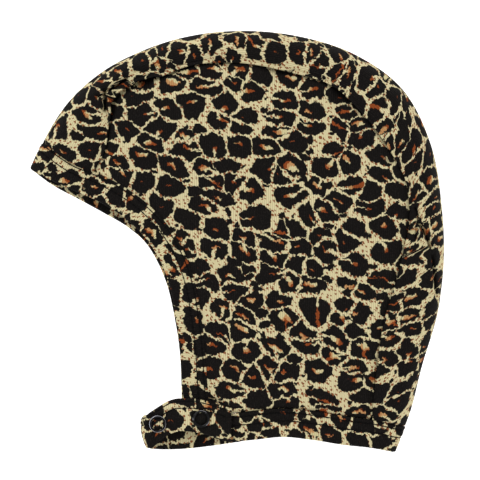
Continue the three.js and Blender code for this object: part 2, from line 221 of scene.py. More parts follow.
# The cloth rises from the open edge to the crown and rounds to the fold. It is puffed on the
# centre panel, which overhangs the side panel's seam. Its undulation is a slow noise.
CROWN_LIFT, RISE = 15.5, 60
FOLD_SHARE, UPPER_ROUND, LOWER_ROUND = 0.45, 8, 6
STRIP_PUFF, SEAM_STEP, SEAM_DEEP, SEAM_REACH = 1.5, 0.9, 1.7, 2.3
SEAM_GAP, OVERHANG, EDGE_DROP, EDGE_ROUND = 0.3, 0.9, 0.8, 1.6
BAND_DIP, BAND_DIP_REACH = 0.9, 1.2
LOWER_FACE = 0.4
# The undulation's two waves: height, size, seed
UNDULATION = [(0.5, 26, 1.5), (0.3, 11, 4.5)]
# Folds pressed into the upper layer: x1, y1, x2, y2, depth, reach.
CREASES = [
    (-65.4, 65.8, -60.8, 69.4, 3.0, 0.9), (-60.2, 68.9, -50.0, 75.8, 5.0, 1.2),
    (-50.0, 77.6, -36.5, 80.0, 1.6, 2.2), (-61.0, 71.0, -61.4, 59.0, 5.0, 1.3),
    (82.2, 16.3, 84.5, 8.9, 2.2, 0.9), (84.3, 9.4, 89.9, -4.7, 4.0, 1.0),
    (89.7, -4.2, 92.4, -28.0, 3.4, 1.0), (83.2, 12.0, 82.4, -1.0, 1.8, 0.9),
    (-6.0, -75.6, -14.0, -72.6, 1.2, 1.4),
]
# The ridge beside a fold, as a share of its depth and its reach, and how far it is pinched
RIDGE, RIDGE_AT, PINCH = 0.2, 2.2, 0.55
FOLD_TAPER = 5
# Hollows beside the seam, under the centre panel's edge: x, y, depth, reach.
HOLLOWS = [(-59.5, 61.0, 2.0, 4), (-43.0, 74.0, 3.0, 5), (18.0, 78.6, 2.2, 6), (48.0, 68.0, 3.0, 6)]


def waves(places, size, seed):
    """Slow noise of about one unit, with features of the given size in millimetres."""
    flat = places.reshape(-1, 2) / size
    values = [noise.noise(Vector((x, y, seed))) for x, y in flat]
    return np.array(values).reshape(places.shape[:-1])


def pressed(places):
    """The depth of the folds at each place, and the pinch that narrows them."""
    depth = np.zeros(places.shape[:-1])
    pinch = np.zeros(places.shape)
    for x1, y1, x2, y2, deep, reach in CREASES:
        way = np.array([x2 - x1, y2 - y1])
        off = places - np.array([x1, y1])
        t = np.clip((off @ way) / (way @ way), 0, 1)
        aside = off - t[..., None] * way
        away = np.linalg.norm(aside, axis=-1)
        ends = smooth(FOLD_TAPER * t) * smooth(FOLD_TAPER * (1 - t))
        valley = np.exp(-((away / reach) ** 2))
        ridge = RIDGE * np.exp(-(((away - RIDGE_AT * reach) / reach) ** 2))
        depth += deep * ends * (valley - ridge)
        pinch -= PINCH * aside * (ends * np.exp(-((away / (RIDGE_AT * reach)) ** 2)))[..., None]
    return depth, pinch


def body_height(places):
    """The edge's lift nearby, and the rise away from the edge."""
    samples = upper_edge.rows[::5]
    flat = places.reshape(-1, 2)
    away = np.linalg.norm(flat[:, None] - samples[None, :, :2], axis=2)
    weight = 1 / (away**2 + 1) ** 2
    lift = (weight * samples[:, LIFT]).sum(axis=1) / weight.sum(axis=1)
    rise = smooth(away.min(axis=1) / RISE)
    return mix(lift, CROWN_LIFT, rise).reshape(places.shape[:-1])


def roundness(away, reach):
    return np.sqrt(1 - (1 - np.clip(away / reach, 0, 1)) ** 2)


def raised(places, height):
    return np.concatenate([places, height[..., None]], axis=-1)


def upper_cloth(places, on_strip):
    """Points on the outer face of the upper layer. on_strip is true on the centre panel."""
    body = body_height(places)
    to_fold = fold.nearest(places)[..., 0]
    to_seam, run, _ = np.moveaxis(upper_seam.nearest(places), -1, 0)
    over = upper_seam.column(OVERLAP, run)
    valley = np.exp(-((to_seam / SEAM_REACH) ** 2))
    if on_strip:
        hill = np.sin(np.pi * to_fold / (to_fold + to_seam + SEAM_GAP))
        rim = roundness(to_seam, EDGE_ROUND) - 1
        strip = STRIP_PUFF * hill + SEAM_STEP * smooth(to_fold / UPPER_ROUND)
        full = body + strip - SEAM_DEEP * (1 - OVERHANG * over) * valley + EDGE_DROP * over * rim
    else:
        full = body - SEAM_DEEP * (1 + OVERHANG * over) * valley
        for x, y, deep, reach in HOLLOWS:
            full = full - deep * np.exp(-(((places - (x, y)) ** 2).sum(axis=-1)) / reach**2)
    depth, pinch = pressed(places)
    full = full - depth + sum(high * waves(places, size, seed) for high, size, seed in UNDULATION)
    low = FOLD_SHARE * body
    return raised(places + pinch, mix(low, full, roundness(to_fold, UPPER_ROUND)))


def sewn_cloth(places, on_strip):
    """The upper layer where it dips to the bands' stitched edges."""
    face = upper_cloth(places, on_strip)
    to_band = upper_sewn.nearest(places)[..., 0]
    face[..., 2] -= BAND_DIP * np.exp(-((to_band / BAND_DIP_REACH) ** 2))
    return face


def lower_cloth(places):
    """Points on the outer face of the lower layer, which rests on the table."""
    turn = 1 - roundness(fold.nearest(places)[..., 0], LOWER_ROUND)
    height = LOWER_FACE + turn * (FOLD_SHARE * body_height(places) - LOWER_FACE)
    return raised(places, height)


def srgb(code):
    """A linear colour from a hexadecimal sRGB one."""
    parts = [int(code[i : i + 2], 16) / 255 for i in (0, 2, 4)]
    return (*[v / 12.92 if v <= 0.04045 else ((v + 0.055) / 1.055) ** 2.4 for v in parts], 1)


def new_material(name, values):
    """A material with its tree and its shader, whose sockets are given values by name."""
    material = bpy.data.materials.new(name)
    material.use_nodes = True
    shader = material.node_tree.nodes["Principled BSDF"]
    for key, value in values.items():
        shader.inputs[key].default_value = value
    return material, material.node_tree, shader


def add_node(tree, kind, inputs=(), out=0, **settings):
    """Adds a node of a kind. inputs go by number or name, and each is a value, or a socket that
    is linked. Gives the output of that name or number, or the node where out is None."""
    made = tree.nodes.new("ShaderNode" + kind)
    for key, value in settings.items():
        setattr(made, key, value)
    for key, value in inputs.items() if isinstance(inputs, dict) else enumerate(inputs):
        if isinstance(value, bpy.types.NodeSocket):
            tree.links.new(value, made.inputs[key])
        else:
            made.inputs[key].default_value = value
    return made if out is None else made.outputs[out]


# Rib jersey of cotton, knitted fine and printed in pigment with a leopard pattern. The eye sees
# matt, faintly fuzzy cloth with upright ribs, and print whose edges step from rib to rib. The
# furrows between the ribs are darkened with painted shade. It is worked out in the fabric's own
# millimetres: u across the ribs, v along them. Dark rosettes are the cells of a warped Voronoi
# pattern between pale channels. Their middles are brown, tan or pale, and some open to one side
# or fall in two.
RIB_PITCH, LOOP_PITCH, MOTTLE_SIZE = 0.95, 0.8, 0.7
# The print's edges step along each rib, and fray. Wider warps bend it all. Each has size, reach.
EDGE_STEP, FRAY, BENDS = (2.1, 0.8), (1.2, 0.9), ((34.0, 6.0), (12.0, 5.5), (4.5, 2.5))
ROSETTE_WIDE, ROSETTE_HIGH, ROSETTE_SLANT = 12.8, 9.2, math.radians(16)
LOBE_SIZE, CHANNEL_SIZE = 3.6, 7.0
# How irregularly they are set, and how middles and flecks are drawn out across the ribs
ROSETTE_SPREAD, SPOT_SPREAD, FLECK_SPREAD = 0.78, 0.8, 0.8
MIDDLE_LONG, FLECK_LONG = (0.6, 1.25, 0), (0.6, 1.05, 0)
# Measures in shares of a rosette's cell. Each pair is how much it varies, and its least value.
GIRTH, HALF_CHANNEL, MIDDLE = (0.13, 0.52), (0.04, 0.028), (0.2, -0.026)
ROUNDING, HALF_GAP, EDGE_SOFT = 0.24, 0.055, 0.012
BODY_LOBES, SPOT_LOBES, MIDDLE_LOBES, GAP_LOBES = 0.17, 0.12, 0.15, 0.18
# How much finer the spots are than rosettes, and how far they fill the room between those
SPOT_FINER, SPOT_FILL = 2.0, 1.1
# The shares of the rosettes that have no gap, and that have none right through
NO_GAP, NOT_THROUGH = 0.52, 0.88
# Where a middle turns tan and then pale, and where a gap opens on the ground: from and to
TAN_AT, PALE_AT, OPEN_AT = (0.12, 0.22), (0.5, 0.6), (0.13, 0.2)
FLECK_PITCH, FLECK_SLANT, FLECK_SIZE = 2.0, math.radians(40), (0.09, 0.15)
# The second colour here is painted shade, which darkens the furrows between the ribs.
BEIGE, FURROW_PAINTED_SHADE = srgb("CCC198"), srgb("D0CEC5")
BLACK, BLACK_LIGHT = srgb("131110"), srgb("201D1B")
BROWN, TAN, PALE, FLECK = srgb("84411F"), srgb("B48658"), srgb("C5BA8E"), srgb("804A2C")
# Settings that nodes share
PLANE = {"noise_dimensions": "2D"}
CELLS = {"voronoi_dimensions": "2D"}
EDGES = {"voronoi_dimensions": "2D", "feature": "DISTANCE_TO_EDGE"}
SOFT = {"interpolation_type": "SMOOTHSTEP"}
BLEND = {"data_type": "RGBA"}
TIMES, TIMES_PLUS = {"operation": "MULTIPLY"}, {"operation": "MULTIPLY_ADD"}
MINUS, ABOUT_Z = {"operation": "SUBTRACT"}, {"rotation_type": "Z_AXIS"}


def printed_jersey(name, fade):
    """fade is how much of the print is lost, as on the fabric's reverse."""
    soft = {"Roughness": 0.9, "Specular IOR Level": 0.05}
    fuzz = {"Sheen Weight": 0.005, "Sheen Roughness": 0.5}
    material, tree, shader = new_material(name, soft | fuzz)
    node = functools.partial(add_node, tree)
    uv = node("UVMap", uv_map="fabric_mm")
    u, v, _ = node("SeparateXYZ", (uv,), None).outputs
    rib_place = node("Math", (u, RIB_PITCH), operation="DIVIDE")
    rib_index = node("Math", (rib_place,), operation="FLOOR")
    rib_phase = node("Math", (rib_place,), operation="FRACT")
    step_place = node("Math", (v, EDGE_STEP[0]), operation="DIVIDE")
    step_index = node("Math", (step_place,), operation="FLOOR")

    def warp(vector, size, reach):
        shift = node("TexNoise", {"Vector": vector, "Scale": 1 / size, "Detail": 1.0}, 1, **PLANE)
        centred = node("VectorMath", (shift, (0.5, 0.5, 0.5)), **MINUS)
        return node("VectorMath", (centred, (reach, reach, 0), vector), **TIMES_PLUS)

    step_at = node("CombineXYZ", (rib_index, step_index))
    step = node("TexWhiteNoise", {"Vector": step_at}, **PLANE)
    stepped = node("Math", (step, EDGE_STEP[1], v), **TIMES_PLUS)
    ragged = warp(node("CombineXYZ", (u, stepped)), *FRAY)
    shaped = ragged
    for bend in BENDS:
        shaped = warp(shaped, *bend)
    lobes = node("TexNoise", {"Vector": ragged, "Scale": 1 / LOBE_SIZE}, **PLANE)
    lobes = node("Math", (lobes, 0.5), **MINUS)

    def within_girth(cells, turn):
        girth = node("Math", (turn, *GIRTH), **TIMES_PLUS)
        return node("Math", (girth, cells.outputs["Distance"]), **MINUS)

    # Rosettes
    slanted = node("VectorRotate", {"Vector": shaped, "Angle": ROSETTE_SLANT}, **ABOUT_Z)
    place = node("VectorMath", (slanted, (1 / ROSETTE_WIDE, 1 / ROSETTE_HIGH, 1)), **TIMES)
    spread = {"Vector": place, "Scale": 1.0, "Randomness": ROSETTE_SPREAD}
    cells = node("TexVoronoi", spread, None, **CELLS)
    edge = node("TexVoronoi", spread, "Distance", **EDGES)
    chance, turn, size = node("SeparateColor", (cells.outputs["Color"],), None).outputs
    channel = {"Vector": ragged, "Scale": 1 / CHANNEL_SIZE, "Detail": 1.0}
    channel = node("MapRange", (node("TexNoise", channel, **PLANE), 0.3, 0.7), **SOFT)
    half_channel = node("Math", (channel, *HALF_CHANNEL), **TIMES_PLUS)
    inside = node("Math", (edge, half_channel), **MINUS)
    rounded = within_girth(cells, turn)
    body = node("Math", (inside, rounded, ROUNDING), operation="SMOOTH_MIN")
    body = node("Math", (lobes, BODY_LOBES, body), **TIMES_PLUS)

    # Small solid spots where the rosettes leave room, judged at each spot's centre
    spot_place = node("VectorMath", (place, (SPOT_FINER, SPOT_FINER, 1)), **TIMES)
    spots = {"Vector": spot_place, "Scale": 1.0, "Randomness": SPOT_SPREAD}
    spots = node("TexVoronoi", spots, None, **CELLS)
    back = (1 / SPOT_FINER, 1 / SPOT_FINER, 0)
    centre = node("VectorMath", (spots.outputs["Position"], back), **TIMES)
    around = node("TexVoronoi", {**spread, "Vector": centre}, None, **CELLS)
    around_turn = node("SeparateColor", (around.outputs["Color"],), 1)
    room = node("Math", (within_girth(around, around_turn), -SPOT_FILL), **TIMES)
    spot = node("Math", (spots.outputs["Distance"], -1 / SPOT_FINER, room), **TIMES_PLUS)
    spot = node("Math", (lobes, SPOT_LOBES, spot), **TIMES_PLUS)

    # Their middles, off centre, and the gap that opens some to one side or cuts them in two
    centred = node("VectorMath", (place, cells.outputs["Position"]), **MINUS)
    oval = node("VectorMath", (centred, MIDDLE_LONG), **TIMES)
    from_middle = node("VectorMath", (oval,), 1, operation="LENGTH")
    angle = node("Math", (turn, math.tau), **TIMES)
    turned = node("VectorRotate", {"Vector": centred, "Angle": angle}, **ABOUT_Z)
    ahead, aside, _ = node("SeparateXYZ", (turned,), None).outputs
    patch = node("Math", (size, *MIDDLE), **TIMES_PLUS)
    patch = node("Math", (patch, from_middle), **MINUS)
    patch = node("Math", (lobes, MIDDLE_LOBES, patch), **TIMES_PLUS)
    through = node("Math", (chance, NOT_THROUGH), operation="GREATER_THAN")
    both_ways = node("Math", (through, 2.0, ahead), **TIMES_PLUS)
    off_line = node("Math", (aside,), operation="ABSOLUTE")
    gap = node("Math", (off_line, -1.0, HALF_GAP), **TIMES_PLUS)
    gap = node("Math", (lobes, GAP_LOBES, gap), **TIMES_PLUS)
    gap = node("Math", (gap, both_ways), operation="MINIMUM")
    has_gap = node("Math", (node("Math", (chance, NO_GAP), **MINUS), 40.0), **TIMES)
    gap = node("Math", (gap, has_gap), operation="MINIMUM")

    # Flecks, slanting, in the pale channels
    fleck_place = node("VectorMath", (ragged, (1 / FLECK_PITCH, 1 / FLECK_PITCH, 1)), **TIMES)
    flecks = {"Vector": fleck_place, "Scale": 1.0, "Randomness": FLECK_SPREAD}
    flecks = node("TexVoronoi", flecks, None, **CELLS)
    from_fleck = node("VectorMath", (fleck_place, flecks.outputs["Position"]), **MINUS)
    slanted = node("VectorRotate", {"Vector": from_fleck, "Angle": FLECK_SLANT}, **ABOUT_Z)
    long_fleck = node("VectorMath", (slanted, FLECK_LONG), **TIMES)
    fleck_away = node("VectorMath", (long_fleck,), 1, operation="LENGTH")
    fleck_chance = node("SeparateColor", (flecks.outputs["Color"],))
    fleck_size = node("Math", (fleck_chance, *FLECK_SIZE), **TIMES_PLUS)
    in_fleck = node("Math", (fleck_size, fleck_away), **MINUS)

    # Colours
    rib_wave = node("Math", (node("Math", (rib_phase, math.tau), **TIMES),), operation="COSINE")
    # Where the furrows between the ribs lie, which painted shade darkens
    furrow_shade_mask = node("MapRange", (rib_wave, -0.3, 1.0, 0.0, 0.6), **SOFT)
    mottle = {"Vector": ragged, "Scale": 1 / MOTTLE_SIZE, "Detail": 3.0}
    mottle = node("TexNoise", mottle, **PLANE)
    worn = node("MapRange", (mottle, 0.45, 0.8), **SOFT)
    tone = node("Math", (ahead, 3.0, node("Math", (size, -0.5), operation="ADD")), **TIMES_PLUS)
    tone = node("Math", (lobes, 1.2, tone), **TIMES_PLUS)
    is_fleck = node("MapRange", (in_fleck, -0.03, 0.03), **SOFT)
    is_tan = node("MapRange", (tone, *TAN_AT), **SOFT)
    is_pale = node("MapRange", (tone, *PALE_AT), **SOFT)
    is_open = node("MapRange", (ahead, *OPEN_AT), **SOFT)
    in_gap = node("MapRange", (gap, -0.008, 0.016), **SOFT)
    in_patch = node("MapRange", (patch, 0.0, 0.02), **SOFT)
    in_body = node("MapRange", (body, -EDGE_SOFT, EDGE_SOFT), **SOFT)
    in_spot = node("MapRange", (spot, -EDGE_SOFT, EDGE_SOFT), **SOFT)
    black = node("Mix", {0: worn, 6: BLACK, 7: BLACK_LIGHT}, 2, **BLEND)
    ground = node("Mix", {0: is_fleck, 6: BEIGE, 7: FLECK}, 2, **BLEND)
    middle = node("Mix", {0: is_tan, 6: BROWN, 7: TAN}, 2, **BLEND)
    middle = node("Mix", {0: is_pale, 6: middle, 7: PALE}, 2, **BLEND)
    opened = node("Mix", {0: is_open, 6: middle, 7: ground}, 2, **BLEND)
    dark = node("Mix", {0: in_gap, 6: black, 7: opened}, 2, **BLEND)
    dark = node("Mix", {0: in_patch, 6: dark, 7: middle}, 2, **BLEND)
    colour = node("Mix", {0: in_body, 6: ground, 7: dark}, 2, **BLEND)
    colour = node("Mix", {0: in_spot, 6: colour, 7: black}, 2, **BLEND)
    faded = node("Mix", {0: fade, 6: colour, 7: PALE}, 2, **BLEND)
    # Painted shade: the colour is darkened in the furrows between the ribs.
    with_furrow_shade = node("Mix", {0: furrow_shade_mask, 6: faded, 7: FURROW_PAINTED_SHADE}, 2, blend_type="MULTIPLY", **BLEND)
    tree.links.new(with_furrow_shade, shader.inputs["Base Color"])

    # Relief: rounded ribs, loops along each rib, and fuzz
    loops = node("Math", (v, math.tau / LOOP_PITCH), **TIMES)
    loop_wave = node("Math", (node("Math", (loops,), operation="SINE"), 0.12), **TIMES)
    relief = node("Math", (rib_wave, -0.5, loop_wave), **TIMES_PLUS)
    relief = node("Math", (mottle, 0.5, relief), **TIMES_PLUS)
    bump = node("Bump", {"Height": relief, "Strength": 0.6, "Distance": 0.0002})
    tree.links.new(bump, shader.inputs["Normal"])
    return material


# The reverse has no print of its own: the eye sees the pattern come through, faded.
JERSEY = printed_jersey("printed_rib_jersey", 0.0)
JERSEY_REVERSE = printed_jersey("printed_rib_jersey_reverse", 0.55)

# Shares of a rim's depth at which a sheet has rows, close together where it turns round
RIM_SHARES = np.array([0, 0.1, 0.35, 0.7, 1])


def ways(length, step, rim):
    """Ways along a length: close together within the rim at both ends, even between."""
    rim = min(rim, length / 2.2)
    near = rim * RIM_SHARES[:-1]
    middle = np.linspace(rim, length - rim, max(2, int(length / step)))
    return np.concatenate([near, middle, length - near[::-1]])


def arc_lengths(grid, axis, zero=0):
    """Way along a grid's rows or columns in space, from the given one."""
    steps = np.linalg.norm(np.diff(grid, axis=axis), axis=2)
    start = np.zeros_like(np.take(steps, [0], axis=axis))
    run = np.concatenate([start, np.cumsum(steps, axis=axis)], axis=axis)
    return run - np.take(run, [zero], axis=axis)


def grid_normals(grid):
    normal = np.cross(*np.gradient(grid, axis=(0, 1)))
    return normal / np.maximum(np.linalg.norm(normal, axis=2), 1e-9)[..., None]


# The reverse begins so many thicknesses inside the rim, and rims are welded within a distance
REVERSE_FROM, WELD = 2.5, 0.002


def sewn_piece(name, mesh):
    piece = bpy.data.objects.new(name, mesh)
    scene.collection.objects.link(piece)
    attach(piece, "root")
    return piece


def cloth(name, face, uv, thick, reverse=JERSEY_REVERSE):
    """A closed piece of cloth with rounded rims. face is a grid of points on its outer side, and
    uv gives each point's place in the fabric: across the ribs and along them."""
    normal = grid_normals(face)
    down, over = arc_lengths(face, 0), arc_lengths(face, 1)
    rim = np.minimum.reduce([down, down[-1:] - down, over, over[:, -1:] - over])
    ease = thick / 2 * (1 - roundness(rim, thick / 2))
    outer = face - normal * ease[..., None]
    inner = face - normal * (thick - ease)[..., None]
    rows, columns = face.shape[:2]
    number = np.arange(rows * columns).reshape(rows, columns)
    quads = np.stack([number[:-1, :-1], number[1:, :-1], number[1:, 1:], number[:-1, 1:]], axis=-1)
    quads = quads.reshape(-1, 4)
    faces = np.vstack([quads, quads[:, ::-1] + rows * columns])
    points = np.vstack([outer.reshape(-1, 3), inner.reshape(-1, 3)])
    points[:, 2] = np.maximum(points[:, 2], 0)
    mesh = bpy.data.meshes.new(name)
    mesh.from_pydata((points * MM).tolist(), [], faces.tolist())
    mesh.materials.append(JERSEY)
    mesh.materials.append(reverse)
    deep = rim.reshape(-1)[quads].min(axis=1) > REVERSE_FROM * thick
    sides = np.concatenate([np.zeros(len(quads), int), deep.astype(int)])
    mesh.polygons.foreach_set("material_index", sides)
    mesh.shade_smooth()
    layer = mesh.uv_layers.new(name="fabric_mm")
    corners = np.tile(uv.reshape(-1, 2), (2, 1))[faces.reshape(-1)]
    layer.data.foreach_set("uv", corners.astype(np.float32).reshape(-1))
    welded = bmesh.new()
    welded.from_mesh(mesh)
    rims = [v for v in welded.verts if v.is_boundary]
    bmesh.ops.remove_doubles(welded, verts=rims, dist=WELD * MM)
    welded.to_mesh(mesh)
    welded.free()
    return sewn_piece(name, mesh)


PANEL_THICK = 1.4
# How far a side panel's edge goes in under the seam, there at least and where it is overhung
SEAM_TUCK, OVERHUNG_TUCK = 0.1, 0.5
# How far the panel's first and last rows are from the ends of its seam
PANEL_ENDS = 1.2
# Each piece shows a part of the print of its own: how far its fabric is shifted
LEFT_PRINT, RIGHT_PRINT = (203, 141), (520, 400)


def panel_grid(seam, sewn, rows, step, tuck):
    """Places of a side panel in plan, in rows from its seam to the bands' sewn edge. tuck is how
    far it goes on past the seam, by the way along it."""
    ends = sewn.nearest(np.array([seam.at(0.0)[0], seam.at(seam.length)[0]]))[:, 1]
    along = np.linspace(PANEL_ENDS, seam.length - PANEL_ENDS, rows) / seam.length
    outer, left = seam.at(along * seam.length)
    outer = outer + left * tuck(along * seam.length)[:, None]
    inner = sewn.at(mix(ends[0], ends[1], along))[0]
    wide = np.linalg.norm(inner - outer, axis=1)
    steps = int(wide.max() / step)
    grid = []
    for a, b, w in zip(outer, inner, wide):
        near = min(PANEL_THICK / 2, w / 3) * RIM_SHARES
        even = np.linspace(near[-1], w - near[-1], steps)[1:-1]
        share = np.concatenate([near, even, w - near[::-1]]) / w
        grid.append(a + (b - a) * share[:, None])
    return np.array(grid)


def seam_tuck(run):
    return SEAM_TUCK + OVERHUNG_TUCK * upper_seam.column(OVERLAP, run)


upper_plan = panel_grid(upper_seam, upper_sewn, rows=230, step=1.0, tuck=seam_tuck)[::-1]
left_panel = cloth(
    "left_side_panel_cloth", sewn_cloth(upper_plan, False), upper_plan + LEFT_PRINT, PANEL_THICK
)
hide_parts("left_side_panel")

# Right side panel
# Its twin on the other side of the head, cut and sewn alike. It lies on the table under the left
# one, and its edge goes in under the seam by the same way all along.


def lower_tuck(run):
    return SEAM_TUCK + 0 * run


lower_plan = panel_grid(lower_seam, lower_sewn, rows=90, step=3.0, tuck=lower_tuck)
right_uv = lower_plan * (-1, 1) + RIGHT_PRINT
right_panel = cloth("right_side_panel_cloth", lower_cloth(lower_plan), right_uv, PANEL_THICK)
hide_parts("right_side_panel")

# Centre panel
# One strip of the same jersey from forehead over crown to nape, with its ribs along it. It is
# folded down its middle here, and its upper edge is puffed over the left side panel's seam.
EDGE_OVER = 1.3
CENTRE_PRINT = (761, 33)
# The length of the fold that both bands take up together
BANDS_WIDE = 26
# Columns of the sheet round the fold and on from there, above it and below
UPPER_TURNS, UPPER_STEPS, LOWER_TURNS, LOWER_STEPS = 12, 26, 8, 8


def strip_places(sewn, seam, over, along, across):
    """A patch between the fold, a seam and the sewn edges of the bands."""
    first, last = sewn.nearest(np.array([seam.at(0.0)[0], seam.at(seam.length)[0]]))[:, 1]
    start = upper_edge.column(UPPER_BAND, 0)
    end = fold.length - upper_edge.column(UPPER_BAND, upper_edge.length)
    a = fold.at(mix(start, end, along))[0]
    b, left = seam.at(along * seam.length)
    b = b - left * over(along * seam.length)[:, None]
    c = sewn.at(first * across)[0]
    d = sewn.at(mix(sewn.length, last, across))[0]
    p, q, r, s = fold.at(start)[0], seam.at(0.0)[0], fold.at(end)[0], seam.at(seam.length)[0]
    u, v = along[:, None, None], across[..., None]
    return mix(a[:, None], b[:, None], v) + mix(c, d, u) - mix(mix(p, q, v), mix(r, s, v), u)


def from_fold(wide, reach, turns, steps, rim):
    """Ways across from the fold, for one section: round it, even, and close at the rim."""
    round_part = reach * (1 - np.cos(np.linspace(0, math.pi / 2, turns + 1)[1:]))
    even_part = np.linspace(reach, wide - rim, steps + 1)[1:]
    return np.concatenate([round_part, even_part, wide - rim * RIM_SHARES[-2::-1]])


def overhang(run):
    return EDGE_OVER * upper_seam.column(OVERLAP, run)


def flush(run):
    return 0 * run


def centre_face():
    rim = PANEL_THICK / 2
    length = fold.length - BANDS_WIDE
    along = ways(length, step=0.85, rim=rim) / length
    halves = []
    for sewn, seam, over, reach, turns, steps in (
        (upper_sewn, upper_seam, overhang, UPPER_ROUND, UPPER_TURNS, UPPER_STEPS),
        (lower_sewn, lower_seam, flush, LOWER_ROUND, LOWER_TURNS, LOWER_STEPS),
    ):
        ends = strip_places(sewn, seam, over, along, np.tile([0.0, 1.0], (len(along), 1)))
        wide = np.linalg.norm(ends[:, 1] - ends[:, 0], axis=1)
        across = np.array([from_fold(w, reach, turns, steps, rim) / w for w in wide])
        halves.append(strip_places(sewn, seam, over, along, across))
    zero = np.zeros((len(along), 1))
    middle = strip_places(upper_sewn, upper_seam, flush, along, zero)
    middle = raised(middle, FOLD_SHARE * body_height(middle))
    upper = sewn_cloth(halves[0], True)[:, ::-1]
    return np.concatenate([upper, middle, lower_cloth(halves[1])], axis=1)


centre = centre_face()
fold_column = UPPER_TURNS + UPPER_STEPS + len(RIM_SHARES) - 1
centre_across = arc_lengths(centre, 1, fold_column)
centre_along = np.broadcast_to(arc_lengths(centre, 0)[:, [fold_column]], centre_across.shape)
centre_uv = np.stack([centre_across, centre_along], axis=-1) + CENTRE_PRINT
centre_panel = cloth("centre_panel_cloth", centre, centre_uv, PANEL_THICK)
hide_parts("centre_panel")

# Face band and neck band
# Bindings of the jersey folded double round the cut edge, with their ribs across them. A twin
# needle fixes each with two lines of stitches near its sewn edge, which draw it in a little.
BAND_THICK, BAND_WIDE, BAND_RELIEF = 2.1, 11.8, 0.5
# The gap between the two bands at the front corner of the neck
CORNER_GAP = 0.6
FACE_LINES, NECK_LINES = (0.7, 3.9), (1.9, 5.8)
FACE_PRINT, NECK_PRINT = (1300, 40), (1700, 77)
STITCH_GROOVE, GROOVE_REACH = 0.5, 0.6
PUCKER, PUCKER_LONG = 0.1, 4.5


def band_ways(length, reach, turns, step):
    """Ways along a band from the fold: round it, even, and close together at its end."""
    round_part = reach * (1 - np.cos(np.linspace(0, math.pi / 2, turns + 1)[1:]))
    rim = BAND_THICK / 2
    even_part = np.arange(reach + step, length - rim, step)
    return np.concatenate([round_part, even_part, length - rim * RIM_SHARES[::-1]])


def band_face(tip, lower_edge):
    """A band's outer face. Rows go across it from its open edge, columns along it."""
    corner = upper_edge.nearest(CORNER[None])[0, 1]
    upper_length = abs(corner - tip * upper_edge.length) - CORNER_GAP / 2
    ups = band_ways(upper_length, UPPER_ROUND, turns=10, step=1.1)[::-1]
    downs = band_ways(lower_edge.length, LOWER_ROUND, turns=8, step=1.5)
    across = ways(BAND_WIDE, step=0.5, rim=BAND_THICK / 2)[:, None] / BAND_WIDE
    upper = band_place(upper_edge, np.abs(tip * upper_edge.length - ups), across)
    middle = band_place(upper_edge, np.array([tip * upper_edge.length]), across)
    lower = band_place(lower_edge, np.abs(tip * lower_edge.length - downs), across)
    middle = raised(middle, FOLD_SHARE * body_height(middle))
    face = np.concatenate([upper_cloth(upper, False), middle, lower_cloth(lower)], axis=1)
    return (face[::-1] if tip else face), len(ups)


def grooved(face, from_sewn, along, lines, relief):
    """A band's face raised by its relief, with a groove at each line of stitches, puckered."""
    height = relief + PUCKER * np.sin(along * math.tau / PUCKER_LONG) * smooth(from_sewn / 3)
    for place in lines:
        height = height - STITCH_GROOVE * np.exp(-(((from_sewn - place) / GROOVE_REACH) ** 2))
    return face + grid_normals(face) * height[..., None]


def band_cloth(name, node, tip, lower_edge, shift, lines):
    face, fold_at = band_face(tip, lower_edge)
    across = np.abs(arc_lengths(face, 0, -1 if tip else 0))
    along = arc_lengths(face, 1, fold_at)
    along = np.broadcast_to(along[len(along) // 2][None], across.shape)
    from_sewn = across[0 if tip else -1][None] - across
    face = grooved(face, from_sewn, along, lines, BAND_RELIEF)
    uv = np.stack([along, across], axis=-1) + shift
    piece = cloth(name, face, uv, BAND_THICK, JERSEY)
    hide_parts(node)
    return piece, face, from_sewn


face_band, face_grid, face_from_sewn = band_cloth(
    "face_band_cloth", "face_band", 0, lower_face, FACE_PRINT, FACE_LINES
)
neck_band, neck_grid, neck_from_sewn = band_cloth(
    "neck_band_cloth", "neck_band", 1, lower_neck, NECK_PRINT, NECK_LINES
)

# Chin strap
# The same binding, folded double and sewn. It leaves the right side to the left, turns back over
# itself at its far end, and its end is snapped to the front corner of the left side.
STRAP_THICK, STRAP_WIDE = 1.8, 14.6
# x, y of its upper edge, x, y of its lower edge, and the height of its outer face
STRAP_LOWER = [
    (-3.2, -81.2, 0.4, -94.6, 0), (-13.0, -82.1, -12.0, -96.4, 0),
    (-26.0, -82.9, -25.0, -97.8, 0), (-36.0, -83.4, -34.0, -98.1, 0),
    (-42.5, -84.0, -39.8, -97.9, 0),
]
STRAP_TURN_OUT, STRAP_TURN_BOW = 2.7, 1.0
STRAP_UPPER = [
    (-42.5, -82.0, -39.8, -96.9, 6.6), (-39.2, -79.9, -37.0, -94.2, 6.7),
    (-36.0, -77.8, -33.6, -91.6, 6.8), (-32.4, -75.5, -30.2, -89.7, 7.4),
    (-28.8, -74.2, -27.0, -88.7, 8.8), (-25.6, -73.9, -24.4, -88.6, 10.3),
    (-22.0, -73.8, -21.2, -88.7, 10.8), (-18.0, -74.2, -17.6, -89.3, 10.8),
    (-13.6, -75.2, -14.0, -90.2, 10.8), (-8.4, -76.8, -8.6, -91.6, 10.8),
    (-2.4, -78.5, -2.6, -93.0, 10.8),
]
STRAP_LINES, STRAP_PRINT = (0.7, 3.9), (2100, 55)
# The column of the strap's grid on which the way along it is measured
STRAP_COLUMN = 12
# Ring snaps: x, y, the height of the ring's middle, of its hidden clasp's middle and height, and
# how far round its edge the bare metal shows
SNAPS = {
    "fold": (-37.0, -85.4, 7.3, 3.4, 1.8, 1.0),
    "end": (-16.6, -82.5, 11.5, 7.9, 1.4, 0.45),
}
RING_RADIUS, RING_WIRE, CLASP_RADIUS = 3.45, 0.55, 3.7
